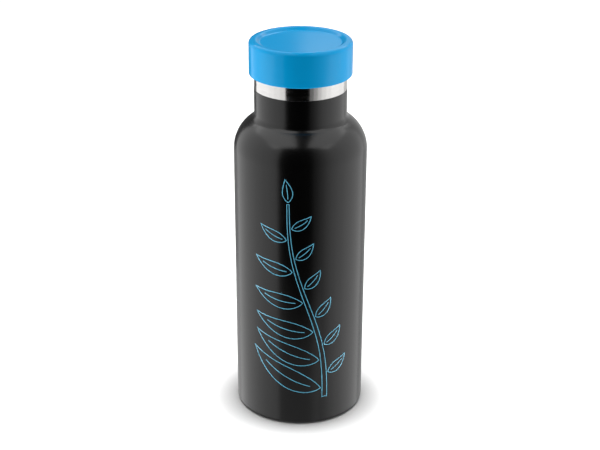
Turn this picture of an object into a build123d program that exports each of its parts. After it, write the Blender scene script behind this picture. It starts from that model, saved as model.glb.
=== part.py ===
"""Double-walled vacuum water bottle with a screw lid, 500 ml, one solid per physical piece, in millimetres.

The origin is the centre of the base, on the surface that the bottle stands on. +Z runs up the bottle's axis
and the printed front faces -Y. Every round piece is drawn as a half section in the XZ plane and revolved.
"""

import math
import os

from build123d import *

os.makedirs("parts", exist_ok=True)

# Driving dimensions of the whole bottle
BODY_R = 36.5  # outside of the straight body, which sets the bottle cage that it suits
NECK_R = 25.15  # outside of the coated neck
LID_R = 27.85  # outside of the lid
BOTTLE_H = 216.0  # from the table to the rim of the lid

# Outer shell: thin steel tube, coated outside, drawn in to a neck over a round shoulder
SHELL_T = 0.5
FOOT_ROUND_R = 2.0  # where the wall turns in under the base
DOME_CENTRE_R = 16.4  # the shoulders of the shell and the inner vessel are struck from this one ring
DOME_CENTRE_Z = 155.2
SHELL_BLEND_R = 4.0  # hollow blend from the shoulder into the neck
COAT_TOP_Z = 189.6  # the coated shell ends here and bare steel begins

# Base: an upturned pan closes the vacuum, and a stamped cover hides it
PAN_R = 33.5
PAN_FLOOR_Z = 5.0  # upper face of the pan
PAN_ROUND_R = 2.0
DIMPLE_R = 6.0
DIMPLE_RISE = 1.2
DIMPLE_SLOPE = 1.2
VENT_R = 1.0  # the hole that the air was drawn out of
COVER_Z = 1.2
COVER_FLANGE_H = 1.8
COVER_ROUND_R = 0.4
COVER_STEP_R = 24.0
COVER_STEP_H = 0.6

# Inner vessel, which holds the drink
VESSEL_T = 0.4
VESSEL_R = 31.8  # outside
VESSEL_NECK_R = 21.9  # outside
VESSEL_BLEND_R = 5.0
VESSEL_SEAM_Z = 16.0  # where the wall is welded to its bottom
VESSEL_FLOOR_Z = 9.0  # underside of the bottom
VESSEL_ROUND_R = 6.4
LIP_Z = 210.0  # the mouth's rim
LIP_R = 23.2
LIP_ROUND_R = 0.18
RAISED_R = 15.0
RAISED_H = 1.5
RAISED_SLOPE = 3.0

# In the vacuum gap
FOIL_T = 0.15
FOIL_Z = (20.0, 150.0)
FOIL_ARC = 352.0
GETTER_X = 17.0
GETTER_R = 4.0
GETTER_H = 1.8
CLIP_T = 0.3
CLIP_MARGIN = 1.2
CLIP_FINGERS = 3
CLIP_FINGER_W = 2.4
BEAD_R = 4.4
BEAD_H = 1.0

# Neck ring: bare steel band below, threaded tube above
BAND_R = 25.05
BAND_TOP_Z = 198.8
RING_T = 0.9
BAND_CHAMFER = 0.4
RING_SOCKET_H = 5.6  # how far the ring reaches down inside the shell's neck
BORE_STEP_Z = (195.5, 196.9)  # the ring's bore narrows from socket to tube between these heights

# Two-start right-hand thread
STARTS = 2
LEAD = 8.0
THREAD_TURNS = 0.8
NECK_ROOT_R = 23.2
NECK_CREST_R = 24.35
NECK_THREAD_Z = 201.3  # where the centre of the first ridge starts
LID_ROOT_R = 24.6
LID_CREST_R = 23.5
LID_THREAD_Z = 200.6
RIDGE_BASE = 2.1
RIDGE_TIP = 0.9
RIDGE_SINK = 0.25  # how far a ridge is let into its wall, so that the two fuse
FLANK_PLAY = 0.15

# Lid: coloured cap, threaded plug inside it, foam in the plug, and a seal
LID_Z = 197.2
LID_WALL = 1.65
LID_TOP_ROUND_R = 2.2
LID_EDGE_ROUND_R = 0.8
DISH_FLOOR_R = 20.8
DISH_RIM_R = 24.6
DISH_DEPTH = 1.45
CAP_ROOF_T = 1.6
PLUG_R = 20.2
PLUG_WALL = 1.4
PLUG_Z = 202.0
PLUG_EDGE_ROUND_R = 0.8
SLEEVE_Z = 199.4
FLANGE_T = 1.5
SEAL_PLAY = 0.05
SEAL_INNER_R = PLUG_R + 0.1
SEAL_OUTER_R = 23.6
SEAL_ROUND_R = 0.3

ROOF_Z = BOTTLE_H - DISH_DEPTH - CAP_ROOF_T  # underside of the cap's roof
FLANGE_Z = ROOF_Z - FLANGE_T  # underside of the plug's flange


def wall_line(body_r, neck_r, blend_r, bottom_z, top_z):
    """One face of a bottle-shaped wall: straight body, round shoulder, hollow blend and straight neck."""
    dome_r = body_r - DOME_CENTRE_R
    across = neck_r + blend_r - DOME_CENTRE_R
    up = math.sqrt((dome_r + blend_r) ** 2 - across**2)
    turn = math.degrees(math.atan2(up, across))
    blend_centre = (neck_r + blend_r, DOME_CENTRE_Z + up)
    Line((body_r, bottom_z), (body_r, DOME_CENTRE_Z))
    CenterArc((DOME_CENTRE_R, DOME_CENTRE_Z), dome_r, 0, turn)
    CenterArc(blend_centre, blend_r, 180 + turn, -turn)
    Line((neck_r, blend_centre[1]), (neck_r, top_z))


def ridges(root_r, crest_r, start_z, start_angle):
    """Adds the thread's ridges to the part being built, standing out from root_r to crest_r."""
    out = math.copysign(1, crest_r - root_r)
    base_half = RIDGE_BASE / 2
    tip_half = RIDGE_TIP / 2
    height = abs(crest_r - root_r)
    for start in range(STARTS):
        helix = Helix(LEAD, LEAD * THREAD_TURNS, root_r, center=(0, 0, start_z), mode=Mode.PRIVATE)
        path = helix.rotate(Axis.Z, start_angle + 360 * start / STARTS)
        foot = path @ 0
        outward = Vector(foot.X, foot.Y, 0) * out
        with BuildSketch(Plane(origin=foot, x_dir=outward, z_dir=path % 0)) as profile:
            with BuildLine():
                Polyline(
                    (-RIDGE_SINK, -base_half),
                    (0, -base_half),
                    (height, -tip_half),
                    (height, tip_half),
                    (0, base_half),
                    (-RIDGE_SINK, base_half),
                    close=True,
                )
            make_face()
        sweep(profile.sketch, path=path, is_frenet=True)


# Outer shell
with BuildPart() as outer_shell:
    with BuildSketch(Plane.XZ):
        with BuildLine():
            foot_r = BODY_R - FOOT_ROUND_R
            wall_line(BODY_R, NECK_R, SHELL_BLEND_R, FOOT_ROUND_R, COAT_TOP_Z)
            wall_line(BODY_R - SHELL_T, NECK_R - SHELL_T, SHELL_BLEND_R + SHELL_T, FOOT_ROUND_R, COAT_TOP_Z)
            CenterArc((foot_r, FOOT_ROUND_R), FOOT_ROUND_R, -90, 90)
            CenterArc((foot_r, FOOT_ROUND_R), FOOT_ROUND_R - SHELL_T, -90, 90)
            Polyline((foot_r, 0), (PAN_R, 0), (PAN_R, SHELL_T), (foot_r, SHELL_T))
            Line((NECK_R, COAT_TOP_Z), (NECK_R - SHELL_T, COAT_TOP_Z))
        make_face()
    revolve(axis=Axis.Z)
outer_shell.part.label = "outer_shell"

# Outer bottom: pan with its rim down, welded to the shell's foot, with a dimple round the vent
with BuildPart() as outer_bottom:
    with BuildSketch(Plane.XZ):
        with BuildLine():
            under_z = PAN_FLOOR_Z - SHELL_T
            corner = (PAN_R - PAN_ROUND_R, PAN_FLOOR_Z - PAN_ROUND_R)
            Polyline(
                (corner[0], PAN_FLOOR_Z),
                (DIMPLE_R + DIMPLE_SLOPE, PAN_FLOOR_Z),
                (DIMPLE_R, PAN_FLOOR_Z + DIMPLE_RISE),
                (VENT_R, PAN_FLOOR_Z + DIMPLE_RISE),
                (VENT_R, under_z + DIMPLE_RISE),
                (DIMPLE_R - SHELL_T / 2, under_z + DIMPLE_RISE),
                (DIMPLE_R - SHELL_T / 2 + DIMPLE_SLOPE, under_z),
                (corner[0], under_z),
            )
            CenterArc(corner, PAN_ROUND_R, 0, 90)
            CenterArc(corner, PAN_ROUND_R - SHELL_T, 0, 90)
            Polyline((PAN_R, corner[1]), (PAN_R, 0), (PAN_R - SHELL_T, 0), (PAN_R - SHELL_T, corner[1]))
        make_face()
    revolve(axis=Axis.Z)
outer_bottom.part.label = "outer_bottom"

# Vacuum plug: bead of solder glass that was melted into the vent
with BuildPart() as vacuum_plug:
    with BuildSketch(Plane.XZ):
        with BuildLine():
            bead_top = PAN_FLOOR_Z - SHELL_T + DIMPLE_RISE
            Polyline(
                (0, bead_top - BEAD_H),
                (0, bead_top + SHELL_T),
                (VENT_R, bead_top + SHELL_T),
                (VENT_R, bead_top),
                (BEAD_R, bead_top),
            )
            RadiusArc((BEAD_R, bead_top), (0, bead_top - BEAD_H), (BEAD_R**2 + BEAD_H**2) / (2 * BEAD_H))
        make_face()
    revolve(axis=Axis.Z)
vacuum_plug.part.label = "vacuum_plug"

# Base cover: shallow stamped pan, pressed into the rim of the outer bottom
with BuildPart() as base_cover:
    with BuildSketch(Plane.XZ):
        with BuildLine():
            cover_r = PAN_R - SHELL_T
            top_z = COVER_Z + SHELL_T
            Polyline(
                (0, COVER_Z + COVER_STEP_H),
                (COVER_STEP_R, COVER_Z + COVER_STEP_H),
                (COVER_STEP_R + COVER_STEP_H, COVER_Z),
                (cover_r, COVER_Z),
                (cover_r, COVER_Z + COVER_FLANGE_H),
                (cover_r - SHELL_T, COVER_Z + COVER_FLANGE_H),
                (cover_r - SHELL_T, top_z),
                (COVER_STEP_R + COVER_STEP_H + SHELL_T / 2, top_z),
                (COVER_STEP_R + SHELL_T / 2, top_z + COVER_STEP_H),
                (0, top_z + COVER_STEP_H),
                close=True,
            )
        make_face()
    revolve(axis=Axis.Z)
    rim = base_cover.edges().filter_by_position(Axis.Z, COVER_Z, COVER_Z).sort_by(SortBy.RADIUS)[-1]
    fillet(rim, radius=COVER_ROUND_R)
base_cover.part.label = "base_cover"

# Getter: sintered pellet that soaks up stray gas, held by a three-fingered clip on the outer bottom
getter_plane = Plane.XY.offset(PAN_FLOOR_Z).move(Location((GETTER_X, 0, 0)))
with BuildPart() as getter_clip:
    with BuildSketch(getter_plane):
        Circle(GETTER_R + CLIP_MARGIN)
    extrude(amount=CLIP_T)
    finger_h = GETTER_H + CLIP_T
    with BuildSketch(getter_plane.offset(CLIP_T)):
        with PolarLocations(GETTER_R + CLIP_T / 2, CLIP_FINGERS):
            Rectangle(CLIP_T, CLIP_FINGER_W)
    extrude(amount=finger_h)
    with BuildSketch(getter_plane.offset(CLIP_T + GETTER_H)):
        with PolarLocations(GETTER_R - CLIP_T, CLIP_FINGERS):
            Rectangle(4 * CLIP_T, CLIP_FINGER_W)
    extrude(amount=CLIP_T)
getter_clip.part.label = "getter_clip"

with BuildPart() as getter_pellet:
    with BuildSketch(getter_plane.offset(CLIP_T)):
        Circle(GETTER_R)
    extrude(amount=GETTER_H)
    with BuildSketch(getter_plane.offset(CLIP_T + GETTER_H)):
        Circle(GETTER_R / 3)
    extrude(amount=-GETTER_H / 2, mode=Mode.SUBTRACT)
getter_pellet.part.label = "getter_pellet"

# Inner vessel, turned out at the mouth into the lip that the lid seals on
with BuildPart() as inner_vessel:
    with BuildSketch(Plane.XZ):
        with BuildLine():
            inside_r = VESSEL_R - VESSEL_T
            mouth_r = VESSEL_NECK_R - VESSEL_T
            under_lip_z = LIP_Z - VESSEL_T
            wall_line(VESSEL_R, VESSEL_NECK_R, VESSEL_BLEND_R, VESSEL_SEAM_Z, under_lip_z)
            wall_line(inside_r, mouth_r, VESSEL_BLEND_R + VESSEL_T, VESSEL_SEAM_Z, LIP_Z)
            Line((VESSEL_R, VESSEL_SEAM_Z), (inside_r, VESSEL_SEAM_Z))
            Polyline((VESSEL_NECK_R, under_lip_z), (LIP_R, under_lip_z), (LIP_R, LIP_Z), (mouth_r, LIP_Z))
        make_face()
    revolve(axis=Axis.Z)
    lip_edges = inner_vessel.edges().filter_by_position(Axis.Z, LIP_Z, LIP_Z)
    fillet(lip_edges, radius=LIP_ROUND_R)
inner_vessel.part.label = "inner_vessel"

# Inner bottom: dished cup with a raised centre, welded to the vessel's wall
with BuildPart() as inner_bottom:
    with BuildSketch(Plane.XZ):
        with BuildLine():
            centre = (VESSEL_R - VESSEL_ROUND_R, VESSEL_FLOOR_Z + VESSEL_ROUND_R)
            for skin in (0, VESSEL_T):
                floor_z = VESSEL_FLOOR_Z + skin
                wall_r = VESSEL_R - skin
                Polyline(
                    (0, floor_z + RAISED_H),
                    (RAISED_R, floor_z + RAISED_H),
                    (RAISED_R + RAISED_SLOPE, floor_z),
                    (centre[0], floor_z),
                )
                CenterArc(centre, VESSEL_ROUND_R - skin, -90, 90)
                Line((wall_r, centre[1]), (wall_r, VESSEL_SEAM_Z))
            Line((0, VESSEL_FLOOR_Z + RAISED_H), (0, VESSEL_FLOOR_Z + RAISED_H + VESSEL_T))
            Line((VESSEL_R, VESSEL_SEAM_Z), (inside_r, VESSEL_SEAM_Z))
        make_face()
    revolve(axis=Axis.Z)
inner_bottom.part.label = "inner_bottom"

# Radiation foil: one wrap of copper foil on the vessel's straight wall, open at its seam
with BuildPart() as radiation_foil:
    with BuildSketch(Plane.XZ):
        with Locations((VESSEL_R + FOIL_T / 2, sum(FOIL_Z) / 2)):
            Rectangle(FOIL_T, FOIL_Z[1] - FOIL_Z[0])
    revolve(axis=Axis.Z, revolution_arc=FOIL_ARC)
radiation_foil.part.label = "radiation_foil"

# Neck ring: a socket in the shell's neck, the band that shows below the lid, and the threaded tube
with BuildPart() as neck_ring:
    with BuildSketch(Plane.XZ):
        with BuildLine():
            socket_r = NECK_R - SHELL_T
            socket_inner_r = socket_r - RING_T
            tube_inner_r = NECK_ROOT_R - RING_T
            Polyline(
                (socket_r, COAT_TOP_Z - RING_SOCKET_H),
                (socket_r, COAT_TOP_Z),
                (BAND_R, COAT_TOP_Z),
                (BAND_R, BAND_TOP_Z - BAND_CHAMFER),
                (BAND_R - BAND_CHAMFER, BAND_TOP_Z),
                (NECK_ROOT_R, BAND_TOP_Z),
                (NECK_ROOT_R, LIP_Z - VESSEL_T),
                (tube_inner_r, LIP_Z - VESSEL_T),
                (tube_inner_r, BORE_STEP_Z[1]),
                (socket_inner_r, BORE_STEP_Z[0]),
                (socket_inner_r, COAT_TOP_Z - RING_SOCKET_H),
                close=True,
            )
        make_face()
    revolve(axis=Axis.Z)
    ridges(NECK_ROOT_R, NECK_CREST_R, NECK_THREAD_Z, 0)
neck_ring.part.label = "neck_ring"

# Lid cap: one moulding, with a shallow dish in its top
with BuildPart() as lid_cap:
    with BuildSketch(Plane.XZ):
        with BuildLine():
            cap_inner_r = LID_R - LID_WALL
            dish_z = BOTTLE_H - DISH_DEPTH
            half_run = (DISH_RIM_R - DISH_FLOOR_R) / 2
            half_drop = DISH_DEPTH / 2
            swell_r = (half_run**2 + half_drop**2) / (2 * half_drop)
            swell_turn = math.degrees(math.asin(half_run / swell_r))
            Polyline((0, ROOF_Z), (0, dish_z), (DISH_FLOOR_R, dish_z))
            CenterArc((DISH_FLOOR_R, dish_z + swell_r), swell_r, -90, swell_turn)
            CenterArc((DISH_RIM_R, BOTTLE_H - swell_r), swell_r, 90, swell_turn)
            Line((DISH_RIM_R, BOTTLE_H), (LID_R - LID_TOP_ROUND_R, BOTTLE_H))
            CenterArc((LID_R - LID_TOP_ROUND_R, BOTTLE_H - LID_TOP_ROUND_R), LID_TOP_ROUND_R, 0, 90)
            Line((LID_R, BOTTLE_H - LID_TOP_ROUND_R), (LID_R, LID_Z + LID_EDGE_ROUND_R))
            CenterArc((LID_R - LID_EDGE_ROUND_R, LID_Z + LID_EDGE_ROUND_R), LID_EDGE_ROUND_R, -90, 90)
            Polyline(
                (LID_R - LID_EDGE_ROUND_R, LID_Z),
                (cap_inner_r, LID_Z),
                (cap_inner_r, ROOF_Z),
                (0, ROOF_Z),
            )
        make_face()
    revolve(axis=Axis.Z)
lid_cap.part.label = "lid_cap"

# Lid insert: threaded sleeve, flange and hollow plug in one moulding, welded into the cap
# Its ridges hook under the neck's, hook_gap below them from centre to centre
hook_gap = (RIDGE_BASE + RIDGE_TIP) / 2 + FLANK_PLAY
insert_angle = 360 * (LID_THREAD_Z + hook_gap - NECK_THREAD_Z) / LEAD
with BuildPart() as lid_insert:
    with BuildSketch(Plane.XZ):
        with BuildLine():
            Polyline(
                (0, PLUG_Z),
                (PLUG_R, PLUG_Z),
                (PLUG_R, FLANGE_Z),
                (LID_ROOT_R, FLANGE_Z),
                (LID_ROOT_R, SLEEVE_Z),
                (cap_inner_r, SLEEVE_Z),
                (cap_inner_r, ROOF_Z),
                (PLUG_R - PLUG_WALL, ROOF_Z),
                (PLUG_R - PLUG_WALL, PLUG_Z + PLUG_WALL),
                (0, PLUG_Z + PLUG_WALL),
                close=True,
            )
        make_face()
    revolve(axis=Axis.Z)
    fillet(lid_insert.edges().filter_by_position(Axis.Z, PLUG_Z, PLUG_Z), radius=PLUG_EDGE_ROUND_R)
    ridges(LID_ROOT_R, LID_CREST_R, LID_THREAD_Z, insert_angle)
lid_insert.part.label = "lid_insert"

# Insulation: foam puck that fills the plug
with BuildPart() as lid_insulation:
    with BuildSketch(Plane.XY.offset(PLUG_Z + PLUG_WALL)):
        Circle(PLUG_R - PLUG_WALL)
    extrude(amount=ROOF_Z - PLUG_Z - PLUG_WALL)
lid_insulation.part.label = "lid_insulation"

# Seal: soft ring between the plug's flange and the lip
with BuildPart() as lid_seal:
    with BuildSketch(Plane.XZ):
        with Locations(((SEAL_INNER_R + SEAL_OUTER_R) / 2, (LIP_Z + FLANGE_Z) / 2)):
            RectangleRounded(SEAL_OUTER_R - SEAL_INNER_R, FLANGE_Z - LIP_Z - 2 * SEAL_PLAY, SEAL_ROUND_R)
    revolve(axis=Axis.Z)
lid_seal.part.label = "lid_seal"

pieces = (
    outer_shell,
    outer_bottom,
    vacuum_plug,
    base_cover,
    getter_clip,
    getter_pellet,
    inner_vessel,
    inner_bottom,
    radiation_foil,
    neck_ring,
    lid_cap,
    lid_insert,
    lid_insulation,
    lid_seal,
)
for piece in pieces:
    export_step(piece.part, f"parts/{piece.part.label}.step")
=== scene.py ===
"""Looks of the vacuum water bottle: turned meshes, procedural finishes, a printed sprig and a white studio.

Everything is in metres in the CAD model's frame: the base's centre is the origin, +Z is up and the printed
front faces -Y. Every round piece is a half section that is revolved, and its outer sizes come from the CAD
nodes.
"""

import math

import bpy
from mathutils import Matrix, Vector


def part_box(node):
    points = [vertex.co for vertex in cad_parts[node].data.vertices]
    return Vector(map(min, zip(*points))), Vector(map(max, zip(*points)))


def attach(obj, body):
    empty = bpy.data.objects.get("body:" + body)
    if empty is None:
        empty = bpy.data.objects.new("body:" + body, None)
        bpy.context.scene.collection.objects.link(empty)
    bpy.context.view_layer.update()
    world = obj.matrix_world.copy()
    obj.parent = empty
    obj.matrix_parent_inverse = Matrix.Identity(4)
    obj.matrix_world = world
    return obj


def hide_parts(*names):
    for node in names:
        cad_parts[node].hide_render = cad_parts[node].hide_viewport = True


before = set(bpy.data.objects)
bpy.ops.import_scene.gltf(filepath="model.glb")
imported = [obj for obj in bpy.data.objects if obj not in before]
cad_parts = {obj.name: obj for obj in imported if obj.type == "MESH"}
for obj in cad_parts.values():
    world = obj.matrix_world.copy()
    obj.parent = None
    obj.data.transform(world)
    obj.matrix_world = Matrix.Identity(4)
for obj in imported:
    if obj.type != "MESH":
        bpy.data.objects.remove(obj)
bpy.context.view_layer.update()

MM = 0.001
SEGMENTS = 192
ARC_STEP = math.radians(6)
SHARP_ANGLE = math.radians(32)
NEARLY = 0.001 * MM


# ---------------------------------------------------------------- sizes that the CAD model gives

def reach(node):
    """Outside radius of a round CAD node."""
    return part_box(node)[1].x


def bottom(node):
    """Height of a CAD node's lowest point."""
    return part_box(node)[0].z


def top(node):
    """Height of a CAD node's highest point."""
    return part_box(node)[1].z


BODY_R = reach("outer_shell")
COAT_TOP = top("outer_shell")
BAND_R = reach("neck_ring")
LIP_Z = top("inner_vessel")
VESSEL_R = reach("inner_vessel")
LID_R = reach("lid_cap")
LID_Z = bottom("lid_cap")
LID_TOP = top("lid_cap")
SLEEVE_R = reach("lid_insert")
SLEEVE_Z = bottom("lid_insert")
ROOF_Z = top("lid_insert")
PAN_R = reach("outer_bottom")

# Sizes inside the nodes, which their boxes do not give
NECK_R = 25.15 * MM
SHELL_T = 0.5 * MM
VESSEL_T = 0.4 * MM
VESSEL_NECK_R = 21.9 * MM
DOME_CENTRE_R = 16.4 * MM
DOME_CENTRE_Z = 155.2 * MM
SHELL_BLEND_R = 4.0 * MM
VESSEL_BLEND_R = 5.0 * MM
FOOT_ROUND_R = 2.0 * MM
PAN_FLOOR_Z = 5.0 * MM
PLUG_R = 20.2 * MM
PLUG_Z = 202.0 * MM
PLUG_WALL = 1.4 * MM
FLANGE_T = 1.5 * MM
BAND_TOP = 198.8 * MM
RING_T = 0.9 * MM

# Thread: two starts, right hand
STARTS = 2
LEAD = 8.0 * MM
THREAD_TURNS = 0.8
RIDGE_BASE = 2.1 * MM
RIDGE_TIP = 0.9 * MM
NECK_ROOT_R = 23.2 * MM
NECK_CREST_R = 24.35 * MM
NECK_THREAD_Z = 201.3 * MM
LID_ROOT_R = 24.6 * MM
LID_CREST_R = 23.5 * MM
LID_THREAD_Z = 200.6 * MM
FLANK_PLAY = 0.15 * MM
RUN_OUT = math.radians(16)
THREAD_STEP = 0.1 * MM
THREAD_SHARP_ANGLE = math.radians(78)


# ---------------------------------------------------------------- mesh building

def rounded(corners):
    """Closed half section from corners (r, z, rounding radius), with an arc where that radius isn't 0."""
    points = []
    count = len(corners)
    for i, (r, z, radius) in enumerate(corners):
        here = Vector((r, z))
        if radius == 0:
            points.append(here)
            continue
        before = (Vector(corners[i - 1][:2]) - here).normalized()
        after = (Vector(corners[(i + 1) % count][:2]) - here).normalized()
        half = before.angle(after) / 2
        centre = here + (before + after).normalized() * (radius / math.sin(half))
        arm = here + before * (radius / math.tan(half)) - centre
        other = here + after * (radius / math.tan(half)) - centre
        turn = math.atan2(arm.x * other.y - arm.y * other.x, arm.dot(other))
        steps = max(2, math.ceil(abs(turn) / ARC_STEP))
        for k in range(steps + 1):
            a = turn * k / steps
            r_step = arm.x * math.cos(a) - arm.y * math.sin(a)
            z_step = arm.x * math.sin(a) + arm.y * math.cos(a)
            points.append(centre + Vector((r_step, z_step)))
    return points


def divided(points, wall_r, step):
    """The same closed section with its upright run at wall_r cut into steps, for a relief to shape."""
    result = []
    for here, there in zip(points, points[1:] + points[:1]):
        result.append(here)
        upright = abs(here.x - wall_r) < NEARLY and abs(there.x - wall_r) < NEARLY
        count = max(1, round((there - here).length / step)) if upright else 1
        result += [here.lerp(there, k / count) for k in range(1, count)]
    return result


def lathe(name, section, segments=SEGMENTS, relief=None, sharp=SHARP_ANGLE):
    """Revolves a closed half section, with one vertex for a point on the axis.

    relief(r, z, angle) gives the radius that a point moves to.
    """
    vertices = []
    rings = []
    for r, z in section:
        if r < NEARLY:
            rings.append([len(vertices)] * segments)
            vertices.append((0, 0, z))
            continue
        rings.append(list(range(len(vertices), len(vertices) + segments)))
        for k in range(segments):
            angle = 2 * math.pi * k / segments
            radius = relief(r, z, angle) if relief else r
            vertices.append((radius * math.cos(angle), radius * math.sin(angle), z))
    faces = []
    for low, high in zip(rings, rings[1:] + rings[:1]):
        if len(set(low)) == 1 and len(set(high)) == 1:
            continue
        for k in range(segments):
            m = (k + 1) % segments
            corners = [low[k], low[m], high[m], high[k]]
            faces.append(list(dict.fromkeys(corners)))
    return piece_from(name, vertices, faces, sharp)


def piece_from(name, vertices, faces, sharp=SHARP_ANGLE):
    """A smooth-shaded object whose edges sharper than sharp stay crisp, with its normals outward."""
    mesh = bpy.data.meshes.new(name)
    mesh.from_pydata([tuple(v) for v in vertices], [], faces)
    mesh.update()
    if signed_volume(mesh) < 0:
        mesh.flip_normals()
    mesh.shade_smooth()
    mesh.set_sharp_from_angle(angle=sharp)
    obj = bpy.data.objects.new(name, mesh)
    bpy.context.scene.collection.objects.link(obj)
    return obj


def signed_volume(mesh):
    """Six times the closed mesh's volume, negative where its normals point inward."""
    mesh.calc_loop_triangles()
    total = 0.0
    for tri in mesh.loop_triangles:
        a, b, c = (mesh.vertices[i].co for i in tri.vertices)
        total += a.dot(b.cross(c))
    return total


def shoulder(body_r, neck_r, blend_r):
    """Two rounded corners of a shoulder: an arc off the body, then a blend back up into the neck."""
    dome_r = body_r - DOME_CENTRE_R
    across = neck_r + blend_r - DOME_CENTRE_R
    up = math.sqrt((dome_r + blend_r) ** 2 - across**2)
    half_turn = math.tan(math.atan2(up, across) / 2)
    return [
        (body_r, DOME_CENTRE_Z + dome_r * half_turn, dome_r),
        (neck_r, DOME_CENTRE_Z + up - blend_r * half_turn, blend_r),
    ]


def smooth_step(low, high, x):
    """Rises smoothly from 0 at low to 1 at high."""
    t = min(1.0, max(0.0, (x - low) / (high - low)))
    return t * t * (3 - 2 * t)


def thread_relief(root_r, crest_r, start_z, start_angle, low_z, high_z):
    """Relief of the thread's ridges on a wall at root_r, run out to nothing at their ends."""
    span = 2 * math.pi * THREAD_TURNS

    def relief(r, z, angle):
        if abs(r - root_r) > NEARLY or not low_z < z < high_z:
            return r
        height = 0.0
        for start in range(STARTS):
            along = (angle - start_angle - 2 * math.pi * start / STARTS) % (2 * math.pi)
            if along > span:
                continue
            off = abs(z - start_z - LEAD * along / (2 * math.pi))
            ridge = 1 - smooth_step(RIDGE_TIP / 2, RIDGE_BASE / 2, off)
            fade = smooth_step(0, RUN_OUT, along) * smooth_step(0, RUN_OUT, span - along)
            height = max(height, ridge * fade)
        return r + (crest_r - root_r) * height

    return relief


# ---------------------------------------------------------------- materials

# Most of a noise texture's values lie between these
NOISE_LOW = 0.3
NOISE_HIGH = 0.7


def new_shader(name):
    """A material with a Principled shader. Returns (material, its node tree, the shader)."""
    material = bpy.data.materials.new(name)
    material.use_nodes = True
    tree = material.node_tree
    return material, tree, tree.nodes["Principled BSDF"]


def noise(tree, scale, stretch=(1, 1, 1), detail=2.0, roughness=0.5):
    """Noise over the object's own metres. stretch squeezes it along an axis, for brushed or flowing marks."""
    place = tree.nodes.new("ShaderNodeTexCoord")
    mapping = tree.nodes.new("ShaderNodeMapping")
    mapping.inputs["Scale"].default_value = stretch
    texture = tree.nodes.new("ShaderNodeTexNoise")
    texture.inputs["Scale"].default_value = scale
    texture.inputs["Detail"].default_value = detail
    texture.inputs["Roughness"].default_value = roughness
    tree.links.new(place.outputs["Object"], mapping.inputs["Vector"])
    tree.links.new(mapping.outputs["Vector"], texture.inputs["Vector"])
    return texture.outputs["Fac"]


def spread(tree, value, low, high):
    """Maps a noise value to the range low..high."""
    node = tree.nodes.new("ShaderNodeMapRange")
    node.inputs["From Min"].default_value = NOISE_LOW
    node.inputs["From Max"].default_value = NOISE_HIGH
    node.inputs["To Min"].default_value = low
    node.inputs["To Max"].default_value = high
    tree.links.new(value, node.inputs["Value"])
    return node.outputs["Result"]


def tint(tree, value, dark, light):
    """Blends between two colours by a noise value."""
    ramp = tree.nodes.new("ShaderNodeValToRGB")
    ramp.color_ramp.elements[0].position = NOISE_LOW
    ramp.color_ramp.elements[1].position = NOISE_HIGH
    ramp.color_ramp.elements[0].color = (*dark, 1)
    ramp.color_ramp.elements[1].color = (*light, 1)
    tree.links.new(value, ramp.inputs["Fac"])
    return ramp.outputs["Color"]


def bump(tree, shader, layers):
    """Stacks bump layers (height value, depth in metres, strength) onto the shader's normal."""
    normal = None
    for value, depth, strength in layers:
        node = tree.nodes.new("ShaderNodeBump")
        node.inputs["Distance"].default_value = depth
        node.inputs["Strength"].default_value = strength
        tree.links.new(value, node.inputs["Height"])
        if normal is not None:
            tree.links.new(normal, node.inputs["Normal"])
        normal = node.outputs["Normal"]
    tree.links.new(normal, shader.inputs["Normal"])


def powder_coat():
    """Satin black powder coat: fine grain, a faint orange peel and a slight drift in gloss."""
    material, tree, shader = new_shader("black_powder_coat")
    grain = noise(tree, scale=2600, detail=3)
    peel = noise(tree, scale=260, detail=2)
    drift = noise(tree, scale=22, detail=3)
    black = tint(tree, drift, dark=(0.0008, 0.0008, 0.0009), light=(0.0014, 0.0014, 0.0014))
    tree.links.new(black, shader.inputs["Base Color"])
    tree.links.new(spread(tree, drift, low=0.20, high=0.24), shader.inputs["Roughness"])
    bump(tree, shader, [(peel, 0.04 * MM, 0.12), (grain, 0.02 * MM, 0.35)])
    return material


def turned_steel(name, colour, rough, line_depth):
    """Bare steel with fine rings round the axis from turning and polishing. rough is (lowest, highest)."""
    material, tree, shader = new_shader(name)
    shader.inputs["Metallic"].default_value = 1.0
    lines = noise(tree, scale=1.0, stretch=(60, 60, 9000), detail=4, roughness=0.6)
    smear = noise(tree, scale=1.0, stretch=(90, 90, 700), detail=3)
    pale = tuple(1.06 * level for level in colour)
    tree.links.new(tint(tree, smear, colour, pale), shader.inputs["Base Color"])
    tree.links.new(spread(tree, smear, *rough), shader.inputs["Roughness"])
    bump(tree, shader, [(lines, line_depth, 0.25)])
    return material


def moulded_plastic(name, dark, light, rough, grain_size, grain_depth, specular=0.5):
    """Satin moulded plastic: spark-eroded grain, faint flow marks and a slight drift in colour."""
    material, tree, shader = new_shader(name)
    shader.inputs["Specular IOR Level"].default_value = specular
    grain = noise(tree, scale=1 / grain_size, detail=3)
    flow = noise(tree, scale=30, stretch=(1, 1, 0.5), detail=2)
    tree.links.new(tint(tree, flow, dark, light), shader.inputs["Base Color"])
    tree.links.new(spread(tree, grain, *rough), shader.inputs["Roughness"])
    bump(tree, shader, [(grain, grain_depth, 0.3)])
    return material


def copper_foil():
    """Thin copper foil with the small creases that wrapping leaves."""
    material, tree, shader = new_shader("copper_foil_wrap")
    shader.inputs["Metallic"].default_value = 1.0
    creases = noise(tree, scale=120, stretch=(1, 1, 0.4), detail=5, roughness=0.65)
    red = tint(tree, creases, dark=(0.76, 0.36, 0.22), light=(0.88, 0.50, 0.33))
    tree.links.new(red, shader.inputs["Base Color"])
    tree.links.new(spread(tree, creases, low=0.18, high=0.34), shader.inputs["Roughness"])
    bump(tree, shader, [(creases, 0.4 * MM, 0.6)])
    return material


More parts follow.
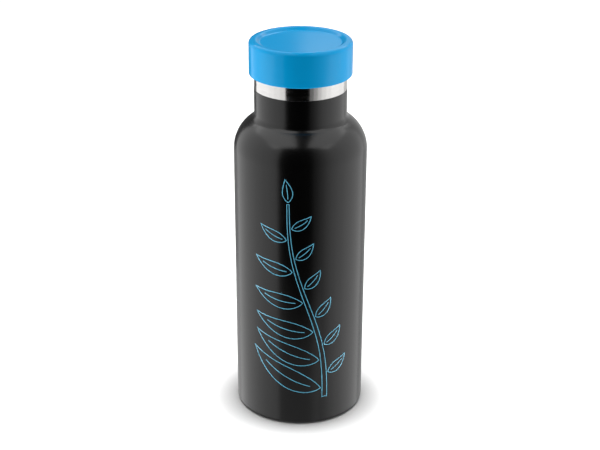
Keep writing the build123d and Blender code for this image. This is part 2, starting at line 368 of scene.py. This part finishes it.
def rough_solid(name, dark, light, rough, metallic, scale, depth):
    """Small sintered, foamed or fused pieces."""
    material, tree, shader = new_shader(name)
    shader.inputs["Metallic"].default_value = metallic
    grain = noise(tree, scale=scale, detail=4, roughness=0.6)
    tree.links.new(tint(tree, grain, dark, light), shader.inputs["Base Color"])
    tree.links.new(spread(tree, grain, *rough), shader.inputs["Roughness"])
    bump(tree, shader, [(grain, depth, 0.5)])
    return material


def printed_ink():
    """Screen-printed ink: slightly uneven cover, a little duller than the coat."""
    material, tree, shader = new_shader("light_blue_ink")
    cover = noise(tree, scale=900, detail=3)
    blue = tint(tree, cover, dark=(0.055, 0.27, 0.39), light=(0.07, 0.30, 0.43))
    tree.links.new(blue, shader.inputs["Base Color"])
    tree.links.new(spread(tree, cover, low=0.38, high=0.5), shader.inputs["Roughness"])
    bump(tree, shader, [(cover, 0.01 * MM, 0.3)])
    return material


BLACK_COAT = powder_coat()
BAND_STEEL = turned_steel(
    "polished_band_steel", (0.635, 0.625, 0.615), rough=(0.11, 0.16), line_depth=0.004 * MM
)
INNER_STEEL = turned_steel(
    "brushed_inner_steel", (0.62, 0.61, 0.60), rough=(0.28, 0.40), line_depth=0.01 * MM
)
PLAIN_STEEL = turned_steel(
    "stamped_steel", (0.55, 0.545, 0.54), rough=(0.30, 0.42), line_depth=0.01 * MM
)
BLUE_PLASTIC = moulded_plastic(
    "blue_lid_plastic",
    dark=(0.0002, 0.191, 0.400),
    light=(0.0003, 0.201, 0.420),
    rough=(0.13, 0.17),
    grain_size=0.5 * MM,
    grain_depth=0.016 * MM,
    specular=0.15,
)
WHITE_PLASTIC = moulded_plastic(
    "white_insert_plastic",
    dark=(0.78, 0.78, 0.77),
    light=(0.82, 0.82, 0.81),
    rough=(0.34, 0.44),
    grain_size=0.6 * MM,
    grain_depth=0.01 * MM,
)
SILICONE = moulded_plastic(
    "clear_grey_silicone",
    dark=(0.66, 0.67, 0.67),
    light=(0.72, 0.73, 0.73),
    rough=(0.46, 0.56),
    grain_size=0.4 * MM,
    grain_depth=0.006 * MM,
)
FOAM = rough_solid(
    "white_foam",
    dark=(0.78, 0.78, 0.75),
    light=(0.88, 0.88, 0.86),
    rough=(0.72, 0.88),
    metallic=0.0,
    scale=900,
    depth=0.2 * MM,
)
SOLDER_GLASS = rough_solid(
    "solder_glass_bead",
    dark=(0.05, 0.05, 0.045),
    light=(0.09, 0.085, 0.08),
    rough=(0.14, 0.30),
    metallic=0.0,
    scale=500,
    depth=0.03 * MM,
)
GETTER = rough_solid(
    "sintered_getter",
    dark=(0.13, 0.13, 0.135),
    light=(0.22, 0.22, 0.225),
    rough=(0.62, 0.78),
    metallic=0.8,
    scale=2400,
    depth=0.04 * MM,
)
COPPER = copper_foil()
INK = printed_ink()


def dress(obj, material, body, slot, *nodes):
    """Gives a piece its finish and the body it rides on, and hides the CAD nodes that it stands for. slot is
    not used.
    """
    obj.data.materials.append(material)
    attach(obj, body)
    if nodes:
        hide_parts(*nodes)
    return obj


# ---------------------------------------------------------------- the bottle

def outer_shell():
    """Coated steel tube: rolled foot, straight wall, round shoulder, and a neck with a soft upper edge."""
    inside = shoulder(BODY_R - SHELL_T, NECK_R - SHELL_T, SHELL_BLEND_R + SHELL_T)
    corners = [
        (PAN_R, 0, 0.08 * MM),
        (BODY_R, 0, FOOT_ROUND_R),
        *shoulder(BODY_R, NECK_R, SHELL_BLEND_R),
        (NECK_R, COAT_TOP, 0.09 * MM),
        (NECK_R - SHELL_T, COAT_TOP, 0),
        inside[1],
        inside[0],
        (BODY_R - SHELL_T, SHELL_T, FOOT_ROUND_R - SHELL_T),
        (PAN_R, SHELL_T, 0),
    ]
    dress(lathe("coated_shell", rounded(corners)), BLACK_COAT, "bottle", "black_coat", "outer_shell")


def neck_ring():
    """Bare steel ring: socket, polished band with eased edges, and the threaded tube."""
    socket_r = NECK_R - SHELL_T
    bottom_z = bottom("neck_ring")
    tube_top = top("neck_ring")
    corners = [
        (socket_r, bottom_z, 0.1 * MM),
        (socket_r, COAT_TOP, 0),
        (BAND_R, COAT_TOP, 0.06 * MM),
        (BAND_R, BAND_TOP, 0.5 * MM),
        (NECK_ROOT_R, BAND_TOP, 0.25 * MM),
        (NECK_ROOT_R, tube_top, 0.15 * MM),
        (NECK_ROOT_R - RING_T, tube_top, 0),
        (NECK_ROOT_R - RING_T, BAND_TOP - RING_T - 1.0 * MM, 0.4 * MM),
        (socket_r - RING_T, BAND_TOP - 2 * RING_T - 1.5 * MM, 0.4 * MM),
        (socket_r - RING_T, bottom_z, 0.1 * MM),
    ]
    relief = thread_relief(
        NECK_ROOT_R, NECK_CREST_R, NECK_THREAD_Z, 0, BAND_TOP + 0.3 * MM, tube_top - 0.2 * MM
    )
    section = divided(rounded(corners), NECK_ROOT_R, THREAD_STEP)
    ring = lathe("steel_neck_ring", section, 2 * SEGMENTS, relief, THREAD_SHARP_ANGLE)
    dress(ring, BAND_STEEL, "bottle", "bare_steel", "neck_ring")


def inner_vessel():
    """Inner wall with its turned-out lip."""
    inside_r = VESSEL_R - VESSEL_T
    mouth_r = VESSEL_NECK_R - VESSEL_T
    seam_z = bottom("inner_vessel")
    lip_r = NECK_ROOT_R
    inside = shoulder(inside_r, mouth_r, VESSEL_BLEND_R + VESSEL_T)
    corners = [
        (VESSEL_R, seam_z, 0),
        *shoulder(VESSEL_R, VESSEL_NECK_R, VESSEL_BLEND_R),
        (VESSEL_NECK_R, LIP_Z - VESSEL_T, 0),
        (lip_r, LIP_Z - VESSEL_T, 0.1 * MM),
        (lip_r, LIP_Z, 0.19 * MM),
        (mouth_r, LIP_Z, 0.9 * MM),
        inside[1],
        inside[0],
        (inside_r, seam_z, 0),
    ]
    dress(lathe("inner_wall", rounded(corners)), INNER_STEEL, "bottle", "inner_steel", "inner_vessel")


def inner_bottom():
    """Dished bottom that is welded to the inner wall."""
    inside_r = VESSEL_R - VESSEL_T
    seam_z = bottom("inner_vessel")
    floor_z = bottom("inner_bottom")
    round_r = 6.4 * MM
    rise = 1.5 * MM
    ease = 1.2 * MM
    raised = [(18.0 * MM, 0), (15.0 * MM, rise)]
    under = [(r, floor_z + h, ease) for r, h in raised]
    over = [(r, floor_z + VESSEL_T + h, ease) for r, h in reversed(raised)]
    corners = [
        (0, floor_z + VESSEL_T + rise, 0),
        *over,
        (inside_r, floor_z + VESSEL_T, round_r - VESSEL_T),
        (inside_r, seam_z, 0),
        (VESSEL_R, seam_z, 0),
        (VESSEL_R, floor_z, round_r),
        *under,
        (0, floor_z + rise, 0),
    ]
    dress(lathe("inner_floor", rounded(corners)), INNER_STEEL, "bottle", "inner_steel", "inner_bottom")


def closing_pan():
    """Pan that closes the jacket, with a dimple round its vent."""
    upper_z = PAN_FLOOR_Z
    under_z = PAN_FLOOR_Z - SHELL_T
    vent_r = 1.0 * MM
    dimple = 1.2 * MM
    ease = 0.4 * MM
    cut_edge = 0.08 * MM
    corners = [
        (vent_r, upper_z + dimple, 0),
        (6.0 * MM, upper_z + dimple, ease),
        (7.2 * MM, upper_z, ease),
        (PAN_R, upper_z, 2.0 * MM),
        (PAN_R, 0, cut_edge),
        (PAN_R - SHELL_T, 0, cut_edge),
        (PAN_R - SHELL_T, under_z, 1.5 * MM),
        (6.95 * MM, under_z, ease),
        (5.75 * MM, under_z + dimple, ease),
        (vent_r, under_z + dimple, 0),
    ]
    dress(lathe("closing_pan", rounded(corners)), PLAIN_STEEL, "bottle", "plain_steel", "outer_bottom")


def base_cover():
    """Stamped cover under the vent, with a ring and a raised middle pressed into it."""
    cover_r = reach("base_cover")
    low = bottom("base_cover")
    high = top("base_cover")
    ring = 0.35 * MM
    middle = 0.6 * MM
    ease = 0.2 * MM
    cut_edge = 0.1 * MM
    steps = [
        (27.5 * MM, 0.0),
        (26.6 * MM, ring),
        (25.4 * MM, ring),
        (24.5 * MM, 0.0),
        (24.0 * MM, middle),
    ]
    lower_face = [(r, low + h, ease) for r, h in steps]
    upper_face = [(r, low + SHELL_T + h, ease) for r, h in reversed(steps)]
    corners = [
        (0, low + middle + SHELL_T, 0),
        *upper_face,
        (cover_r - SHELL_T, low + SHELL_T, ease),
        (cover_r - SHELL_T, high, cut_edge),
        (cover_r, high, cut_edge),
        (cover_r, low, 0.5 * MM),
        *lower_face,
        (0, low + middle, 0),
    ]
    cover = lathe("stamped_base_cover", rounded(corners))
    dress(cover, PLAIN_STEEL, "bottle", "plain_steel", "base_cover")


# ---------------------------------------------------------------- the lid

def lid_cap():
    """Blue cap: eased lower edge, straight side, round rim and a shallow dish with soft blends."""
    wall = 1.65 * MM
    rim_round = 2.2 * MM
    rim_r = 23.7 * MM
    dish_r = 21.9 * MM
    dish_z = LID_TOP - 1.45 * MM
    corners = [
        (0, ROOF_Z, 0),
        (LID_R - wall, ROOF_Z, 0.3 * MM),
        (LID_R - wall, LID_Z, 0.3 * MM),
        (LID_R, LID_Z, 0.8 * MM),
        (LID_R, LID_TOP, rim_round),
        (rim_r, LID_TOP, rim_round),
        (dish_r, dish_z, 1.2 * MM),
        (0, dish_z, 0),
    ]
    return dress(lathe("blue_lid_cap", rounded(corners)), BLUE_PLASTIC, "lid", "blue_plastic", "lid_cap")


def lid_insert():
    """White moulding in the cap: threaded sleeve, flange over the lip and the hollow plug."""
    flange_z = ROOF_Z - FLANGE_T
    corners = [
        (0, PLUG_Z, 0),
        (PLUG_R, PLUG_Z, 0.8 * MM),
        (PLUG_R, flange_z, 0.1 * MM),
        (LID_ROOT_R, flange_z, 0.2 * MM),
        (LID_ROOT_R, SLEEVE_Z, 0.35 * MM),
        (SLEEVE_R, SLEEVE_Z, 0.3 * MM),
        (SLEEVE_R, ROOF_Z, 0),
        (PLUG_R - PLUG_WALL, ROOF_Z, 0.2 * MM),
        (PLUG_R - PLUG_WALL, PLUG_Z + PLUG_WALL, 0.2 * MM),
        (0, PLUG_Z + PLUG_WALL, 0),
    ]
    hook_gap = (RIDGE_BASE + RIDGE_TIP) / 2 + FLANK_PLAY
    start_angle = 2 * math.pi * (LID_THREAD_Z + hook_gap - NECK_THREAD_Z) / LEAD
    relief = thread_relief(
        LID_ROOT_R, LID_CREST_R, LID_THREAD_Z, start_angle, SLEEVE_Z + 0.3 * MM, flange_z - 0.3 * MM
    )
    section = divided(rounded(corners), LID_ROOT_R, THREAD_STEP)
    insert = lathe("threaded_insert", section, 2 * SEGMENTS, relief, THREAD_SHARP_ANGLE)
    dress(insert, WHITE_PLASTIC, "lid", "white_plastic", "lid_insert")


def lid_seal():
    """Silicone ring with rounded edges."""
    low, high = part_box("lid_seal")
    inner_r = PLUG_R + 0.1 * MM
    edge = 0.3 * MM
    corners = [
        (inner_r, low.z, edge),
        (high.x, low.z, edge),
        (high.x, high.z, edge),
        (inner_r, high.z, edge),
    ]
    dress(lathe("silicone_seal", rounded(corners)), SILICONE, "seal", "silicone", "lid_seal")


# ---------------------------------------------------------------- the printed sprig

LINE_W = 0.42 * MM
INK_RISE = 0.04 * MM
INK_SINK = 0.03 * MM
MITRE_LIMIT = 1.6

SPRIG_FOOT = Vector((14.5 * MM, 17 * MM))
SPRIG_TIP = Vector((-6.5 * MM, 136 * MM))
STEM_SWAY = 3.2 * MM
STEM_STEPS = 90
LEAF_PAIRS = 6
LEAF_STEPS = 30
LEAF_SPLAY = 1.3
LEAF_CURL = 0.6
WIDE_NEAR_ROOT = 0.75
RIB_START = 0.1
RIB_END = 0.78


def on_wall(u, v, radius):
    """Point on the body's wall: u is the arc length to the right of the front line, v the height."""
    angle = u / BODY_R - math.pi / 2
    return (radius * math.cos(angle), radius * math.sin(angle), v)


def ink_line(vertices, faces, path, closed):
    """Adds a raised flat line that follows path, points (u, v), round the wall."""
    count = len(path)
    first = len(vertices)
    for i, here in enumerate(path):
        before = path[i - 1] if closed or i else here
        after = path[(i + 1) % count] if closed or i < count - 1 else here
        into = (here - before).normalized() if here != before else (after - here).normalized()
        out = (after - here).normalized() if here != after else into
        along = (into + out).normalized()
        across = Vector((-along.y, along.x))
        stretch = 1 / max(1 / MITRE_LIMIT, along.dot(into))
        side = across * (LINE_W / 2 * stretch)
        for offset, radius in (
            (side, BODY_R + INK_RISE),
            (-side, BODY_R + INK_RISE),
            (-side, BODY_R - INK_SINK),
            (side, BODY_R - INK_SINK),
        ):
            point = here + offset
            vertices.append(on_wall(point.x, point.y, radius))
    for i in range(count if closed else count - 1):
        a = first + 4 * i
        b = first + 4 * ((i + 1) % count)
        for k in range(4):
            m = (k + 1) % 4
            faces.append([a + k, a + m, b + m, b + k])
    if not closed:
        last = first + 4 * (count - 1)
        faces.append([first + 3, first + 2, first + 1, first])
        faces.append([last, last + 1, last + 2, last + 3])


def leaf(root, heading, length, width, curl):
    """Outline and midrib of a leaf that leaves root along heading and bends by curl up to its point."""
    left, right, rib = [], [], []
    point = root.copy()
    for k in range(LEAF_STEPS + 1):
        t = k / LEAF_STEPS
        a = heading + curl * t
        across = Vector((-math.sin(a), math.cos(a)))
        half = width / 2 * math.sin(math.pi * t**WIDE_NEAR_ROOT)
        left.append(point + across * half)
        right.append(point - across * half)
        if RIB_START < t < RIB_END:
            rib.append(point.copy())
        point = point + Vector((math.cos(a), math.sin(a))) * (length / LEAF_STEPS)
    return left + right[-2:0:-1], rib


def stem(t):
    """Point of the stem's middle line, from t = 0 at its foot to 1 at its tip."""
    return SPRIG_FOOT.lerp(SPRIG_TIP, t) + Vector((STEM_SWAY * math.sin(2 * math.pi * t), 0))


def stem_heading(t):
    """The stem's direction at t, in radians up from the horizontal."""
    nudge = 0.005
    ahead = stem(t + nudge) - stem(t - nudge)
    return math.atan2(ahead.y, ahead.x)


def beside_stem(t, distance):
    """Point at distance to the left of the stem, seen along it, or to the right where that is negative."""
    a = stem_heading(t)
    return stem(t) + Vector((-math.sin(a), math.cos(a))) * distance


def sprig():
    """A leafy sprig in outline that leans up the front of the bottle."""
    vertices, faces = [], []
    left, right = [], []
    for k in range(STEM_STEPS + 1):
        t = k / STEM_STEPS
        half = (1.5 - 0.9 * t) * MM
        left.append(beside_stem(t, half))
        right.append(beside_stem(t, -half))
    ink_line(vertices, faces, left + right[::-1], closed=True)

    # Place along the stem, side of it, length and width. They get smaller towards the tip
    leaves = []
    for k in range(LEAF_PAIRS):
        leaves.append((0.05 + 0.155 * k, 1, (47 - 6 * k) * MM, (12.5 - 1.3 * k) * MM))
        leaves.append((0.13 + 0.15 * k, -1, (14.5 - 0.3 * k) * MM, (6.2 - 0.2 * k) * MM))
    for t, side, length, width in leaves:
        gap = (2.5 - 0.9 * t) * MM
        leaf_heading = stem_heading(t) + side * LEAF_SPLAY
        outline, rib = leaf(beside_stem(t, side * gap), leaf_heading, length, width, -side * LEAF_CURL)
        ink_line(vertices, faces, outline, closed=True)
        ink_line(vertices, faces, rib, closed=False)

    bud_root = stem(1) + Vector((0, 1.2 * MM))
    outline, rib = leaf(bud_root, stem_heading(1), length=13 * MM, width=5.5 * MM, curl=0.25)
    ink_line(vertices, faces, outline, closed=True)
    ink_line(vertices, faces, rib, closed=False)
    return dress(piece_from("printed_sprig", vertices, faces), INK, "bottle", "blue_ink")


# ---------------------------------------------------------------- studio

CAMERA_PLACE = (-0.0001, -0.666, 0.405)
CAMERA_TURN = (65.98, -0.21, 0.09)
CAMERA_LENS = 77.75

# Painted floor shadow: its reach from a wall, the share of open sky beside one, and the floor's two tones
FLOOR_R = 0.85
SHADE_REACH = 22 * MM
BESIDE_A_WALL = 0.5
FLOOR_PAINTED_SHADOW = 0.44
FLOOR_WHITE = 0.86

# Strength of the white world, for light on the bottle and as the camera sees it
ROOM_GLOW = 0.36
BACKDROP = 1.06

PANEL_DISTANCE = 0.8
PANEL_LOW = -0.65
PANEL_HIGH = 0.85

# Brightness of the studio round the bottle: from and to in degrees to the right of the camera's side, lower
# and upper edge in metres, and radiance
SURROUND = (
    (-180, -139, PANEL_LOW, -0.3, 0.70),
    (-180, -139, -0.3, -0.09, 0.40),
    (-180, -139, -0.09, PANEL_HIGH, 0.12),
    (-139, -112, PANEL_LOW, PANEL_HIGH, 1.38),
    (-112, -84, PANEL_LOW, PANEL_HIGH, 1.34),
    (-84, -68, PANEL_LOW, PANEL_HIGH, 1.24),
    (-68, -52, PANEL_LOW, PANEL_HIGH, 1.13),
    (-52, -37, PANEL_LOW, PANEL_HIGH, 1.02),
    (22, 32, PANEL_LOW, PANEL_HIGH, 0.20),
    (32, 42, PANEL_LOW, PANEL_HIGH, 0.42),
    (42, 52, PANEL_LOW, PANEL_HIGH, 0.74),
    (52, 64, PANEL_LOW, PANEL_HIGH, 1.00),
    (64, 80, PANEL_LOW, PANEL_HIGH, 1.18),
    (80, 108, PANEL_LOW, PANEL_HIGH, 1.32),
    (108, 134, PANEL_LOW, PANEL_HIGH, 1.25),
    (134, 180, PANEL_LOW, -0.09, 0.55),
    (134, 180, -0.09, PANEL_HIGH, 0.72),
)

# More panels that only reflections see: name, place, aim, width, height and radiance
SOFTBOXES = (
    ("front_sweep", (0, -0.6, -0.55), (0, 0, -0.55), 0.9, 0.55, 0.42),
    ("table_glow", (0, 0, PANEL_LOW), (0, 0, 0), 1.3, 1.3, 0.25),
    ("overhead_left", (-0.64, 0, 1.2), (-0.64, 0, 0), 1.06, 1.8, 1.85),
    ("overhead_right", (0.74, 0, 1.2), (0.74, 0, 0), 0.98, 1.8, 1.7),
    ("crest_light", (0, 0.78, 0.82), (0, 0, 0.216), 1.4, 0.26, 3.0),
)

# Square fills low on both sides, which reflections don't see: name, place and radiance
FILLS = (
    ("left_fill", (-0.95, -0.18, -0.35), 14.5),
    ("right_fill", (0.95, -0.18, -0.35), 12.5),
)
FILL_AIM = (0, 0, 0.2)
FILL_SIDE = 0.8

# Suns that light the floor and shade it round the base: name, energy, width in degrees, and lean to the back
# and to the side in degrees
SUNS = (
    ("key_left", 1.9, 12, 2.6, -5.2),
    ("key_right", 1.9, 12, 2.6, 5.2),
    ("overhead_sky", 1.0, 80, 0, 0),
)


def floor():
    """Round table top, over-white where nothing shades it, with a painted contact shadow round the base.
    Reflections and bounced light pass it by.
    """
    mesh = bpy.data.meshes.new("studio_floor")
    turns = [2 * math.pi * k / SEGMENTS for k in range(SEGMENTS)]
    rim = [(FLOOR_R * math.cos(a), FLOOR_R * math.sin(a), 0) for a in turns]
    mesh.from_pydata(rim, [], [range(SEGMENTS)])
    obj = bpy.data.objects.new("studio_floor", mesh)
    bpy.context.scene.collection.objects.link(obj)
    material, tree, shader = new_shader("white_floor")
    # Ambient occlusion darkens the floor's colour round the base: a painted contact shadow
    shade = tree.nodes.new("ShaderNodeAmbientOcclusion")
    shade.inputs["Distance"].default_value = SHADE_REACH
    level = tree.nodes.new("ShaderNodeMapRange")
    level.inputs["From Min"].default_value = BESIDE_A_WALL
    level.inputs["To Min"].default_value = FLOOR_PAINTED_SHADOW
    level.inputs["To Max"].default_value = FLOOR_WHITE
    tree.links.new(shade.outputs["AO"], level.inputs["Value"])
    tree.links.new(level.outputs["Result"], shader.inputs["Base Color"])
    shader.inputs["Roughness"].default_value = 0.9
    shader.inputs["Specular IOR Level"].default_value = 0.0
    mesh.materials.append(material)
    obj.visible_glossy = False
    obj.visible_diffuse = False
    obj.visible_shadow = False


def panel(name, place, aim, width, height, radiance, glossy=True, diffuse=True):
    """A rectangular soft light at place that faces aim and is equally bright all over."""
    light = bpy.data.lights.new(name, "AREA")
    light.shape = "RECTANGLE"
    light.size = width
    light.size_y = height
    light.energy = math.pi * width * height * radiance
    obj = bpy.data.objects.new(name, light)
    obj.location = place
    obj.rotation_euler = (Vector(aim) - Vector(place)).to_track_quat("-Z", "Y").to_euler()
    obj.visible_camera = False
    obj.visible_glossy = glossy
    obj.visible_diffuse = diffuse
    bpy.context.scene.collection.objects.link(obj)
    return obj


def side_fills(coloured):
    """Strong fills from low on both sides. They light only coloured pieces, as white ones would burn out."""
    lit = bpy.data.collections.new("side_lit")
    for piece in coloured:
        lit.objects.link(piece)
    for name, place, radiance in FILLS:
        fill = panel(name, place, FILL_AIM, FILL_SIDE, FILL_SIDE, radiance, glossy=False)
        fill.light_linking.receiver_collection = lit


def reflected_panels():
    """White surroundings and softboxes, which show only in reflections."""
    for i, (start, end, low, high, radiance) in enumerate(SURROUND):
        middle = math.radians((start + end) / 2)
        half = math.radians((end - start) / 2)
        z = (low + high) / 2
        place = (PANEL_DISTANCE * math.sin(middle), -PANEL_DISTANCE * math.cos(middle), z)
        width = 2 * PANEL_DISTANCE * math.tan(half)
        panel("surround_%d" % i, place, (0, 0, z), width, high - low, radiance, diffuse=False)
    for name, place, aim, width, height, radiance in SOFTBOXES:
        panel(name, place, aim, width, height, radiance, diffuse=False)


def suns():
    """Suns from above, which light the floor and shade it round the base."""
    for name, energy, angle, back, side in SUNS:
        light = bpy.data.lights.new(name, "SUN")
        light.energy = energy
        light.angle = math.radians(angle)
        sun = bpy.data.objects.new(name, light)
        sun.rotation_euler = (math.radians(-back), math.radians(side), 0)
        sun.visible_glossy = False
        bpy.context.scene.collection.objects.link(sun)


def room():
    """A white world that lights evenly, is over-white to the camera and doesn't show in reflections."""
    world = bpy.data.worlds.new("studio_world")
    bpy.context.scene.world = world
    world.use_nodes = True
    background = world.node_tree.nodes["Background"]
    background.inputs["Color"].default_value = (1, 1, 1, 1)
    path = world.node_tree.nodes.new("ShaderNodeLightPath")
    level = world.node_tree.nodes.new("ShaderNodeMapRange")
    level.inputs["To Min"].default_value = ROOM_GLOW
    level.inputs["To Max"].default_value = BACKDROP
    world.node_tree.links.new(path.outputs["Is Camera Ray"], level.inputs["Value"])
    world.node_tree.links.new(level.outputs["Result"], background.inputs["Strength"])
    world.cycles_visibility.glossy = False


def camera():
    """The photograph's viewpoint: 0.67 m in front, 0.4 m up, looking 24 degrees down through a long lens."""
    data = bpy.data.cameras.new("product_camera")
    data.sensor_width = 36.0
    data.lens = CAMERA_LENS
    obj = bpy.data.objects.new("product_camera", data)
    obj.location = CAMERA_PLACE
    obj.rotation_euler = [math.radians(turn) for turn in CAMERA_TURN]
    bpy.context.scene.collection.objects.link(obj)
    bpy.context.scene.camera = obj


def colour_management():
    """Plain colours, as the product photograph shows them."""
    view = bpy.context.scene.view_settings
    view.view_transform = "Standard"
    view.look = "None"
    view.exposure = 0.0
    view.gamma = 1.0


camera()
colour_management()
floor()
reflected_panels()
suns()
room()
outer_shell()
neck_ring()
inner_vessel()
inner_bottom()
closing_pan()
base_cover()
cap = lid_cap()
lid_insert()
lid_seal()
print_on_wall = sprig()
side_fills([cap, print_on_wall])

KEPT_NODES = {
    "vacuum_plug": SOLDER_GLASS,
    "getter_clip": PLAIN_STEEL,
    "getter_pellet": GETTER,
    "radiation_foil": COPPER,
    "lid_insulation": FOAM,
}
for node, material in KEPT_NODES.items():
    for material_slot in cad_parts[node].material_slots:
        material_slot.material = material
